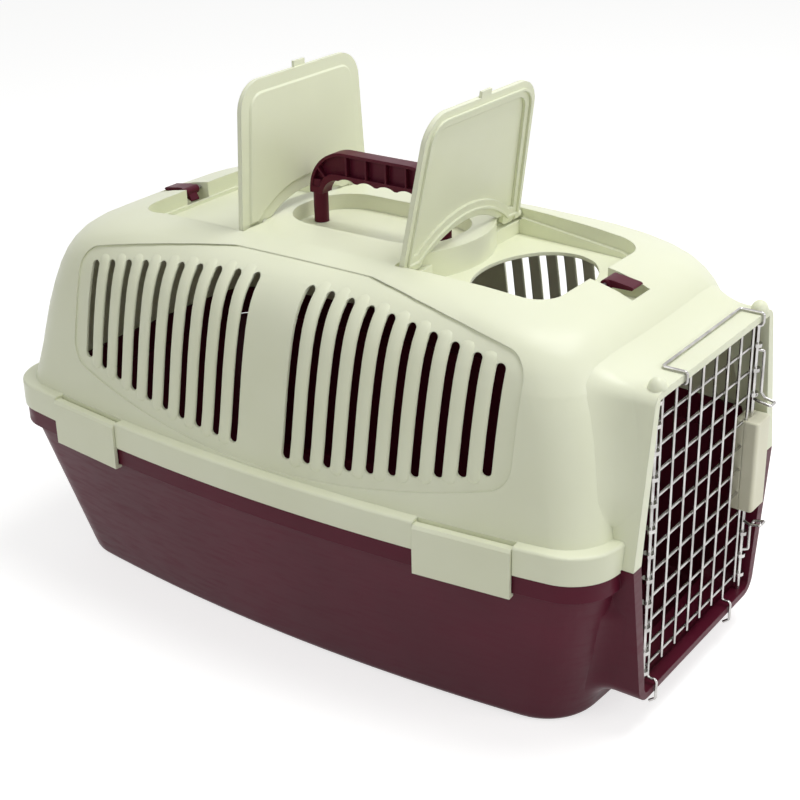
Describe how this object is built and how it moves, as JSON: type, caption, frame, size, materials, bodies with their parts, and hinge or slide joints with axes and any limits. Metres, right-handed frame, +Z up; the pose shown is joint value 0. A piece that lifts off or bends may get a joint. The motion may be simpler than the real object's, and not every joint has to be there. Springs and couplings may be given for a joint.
{
  "type": "pet carrier",
  "caption": "Two-part plastic pet carrier with a domed vented top, two hinged roof lids, a rising carry handle, side clips and a swinging wire door.",
  "frame": {"origin": "middle of the footprint on the floor, under the middle of the side clips", "axes": "+X towards the wire door, +Y across to the far side, +Z up"},
  "size_m": [0.6262, 0.368, 0.453],
  "materials": {
    "cream_plastic": "moulded plastic with a soft sheen",
    "burgundy_plastic": "moulded plastic with a soft sheen",
    "ivory_plastic": "matt moulded plastic",
    "wire": "bright plated wire",
    "steel_pin": "plain drawn steel"
  },
  "bodies": {
    "carrier": {"bottom_tub": "burgundy_plastic", "top_shell": "cream_plastic", "lid_hinge_pins": "steel_pin", "clip_pins": "steel_pin", "latch_pin_front": "steel_pin", "latch_pin_back": "steel_pin", "door_hinge_rod": "wire"},
    "front_lid": {"lid_front": "cream_plastic"},
    "back_lid": {"lid_back": "cream_plastic"},
    "clip_back_near_body": {"clip_back_near": "cream_plastic"},
    "clip_front_near_body": {"clip_front_near": "cream_plastic"},
    "clip_back_far_body": {"clip_back_far": "cream_plastic"},
    "clip_front_far_body": {"clip_front_far": "cream_plastic"},
    "carry_handle": {"handle": "burgundy_plastic", "handle_collar_front": "burgundy_plastic", "handle_collar_back": "burgundy_plastic"},
    "front_lever": {"latch_lever_front": "burgundy_plastic"},
    "back_lever": {"latch_lever_back": "burgundy_plastic"},
    "door": {"door_grid": "wire", "latch_housing_front": "ivory_plastic", "latch_housing_back": "ivory_plastic", "latch_spring_upper": "steel_pin", "latch_spring_lower": "steel_pin"},
    "upper_rod": {"latch_rod_upper": "wire"},
    "lower_rod": {"latch_rod_lower": "wire"}
  },
  "joints": [
    {"name": "lid_front_hinge", "type": "hinge", "parent": "carrier", "child": "front_lid", "pos_m": [0.0795, 0, 0.326], "axis": [0, 1, 0], "range_deg": [-10, 85.5]},
    {"name": "lid_back_hinge", "type": "hinge", "parent": "carrier", "child": "back_lid", "pos_m": [-0.0795, 0, 0.326], "axis": [0, -1, 0], "range_deg": [0, 95.5]},
    {"name": "handle_rise", "type": "slide", "parent": "carrier", "child": "carry_handle", "axis": [0, 0, -1], "range_m": [0, 0.025]},
    {"name": "lever_front_pivot", "type": "hinge", "parent": "carrier", "child": "front_lever", "pos_m": [0.214, 0, 0.319], "axis": [0, 1, 0], "range_deg": [0, 26]},
    {"name": "lever_back_pivot", "type": "hinge", "parent": "carrier", "child": "back_lever", "pos_m": [-0.214, 0, 0.319], "axis": [0, -1, 0], "range_deg": [0, 26]},
    {"name": "door_hinge", "type": "hinge", "parent": "carrier", "child": "door", "pos_m": [0.299, -0.086, 0.161], "axis": [0, 0, -1], "range_deg": [0, 90]},
    {"name": "rod_upper_slide", "type": "slide", "parent": "door", "child": "upper_rod", "axis": [0, 0, -1], "range_m": [0, 0.012], "stiffness_N_per_m": 250, "springref_m": -0.008, "deforming": ["latch_spring_upper"]},
    {"name": "rod_lower_slide", "type": "slide", "parent": "door", "child": "lower_rod", "axis": [0, 0, 1], "range_m": [0, 0.012], "stiffness_N_per_m": 250, "springref_m": -0.008, "deforming": ["latch_spring_lower"]},
    {"name": "clip_back_near_hinge", "type": "hinge", "parent": "carrier", "child": "clip_back_near_body", "pos_m": [-0.19145, -0.16878, 0.1695], "axis": [-0.9939, 0.1107, 0], "range_deg": [0, 85]},
    {"name": "clip_front_near_hinge", "type": "hinge", "parent": "carrier", "child": "clip_front_near_body", "pos_m": [0.19145, -0.16789, 0.1695], "axis": [-0.9939, -0.1107, 0], "range_deg": [0, 85]},
    {"name": "clip_back_far_hinge", "type": "hinge", "parent": "carrier", "child": "clip_back_far_body", "pos_m": [-0.19145, 0.16878, 0.1695], "axis": [0.9939, 0.1107, 0], "range_deg": [0, 85]},
    {"name": "clip_front_far_hinge", "type": "hinge", "parent": "carrier", "child": "clip_front_far_body", "pos_m": [0.19145, 0.16789, 0.1695], "axis": [0.9939, -0.1107, 0], "range_deg": [0, 85]}
  ],
  "couplings": [
    {"joint": "rod_lower_slide", "follows": "rod_upper_slide", "ratio": 1}
  ]
}
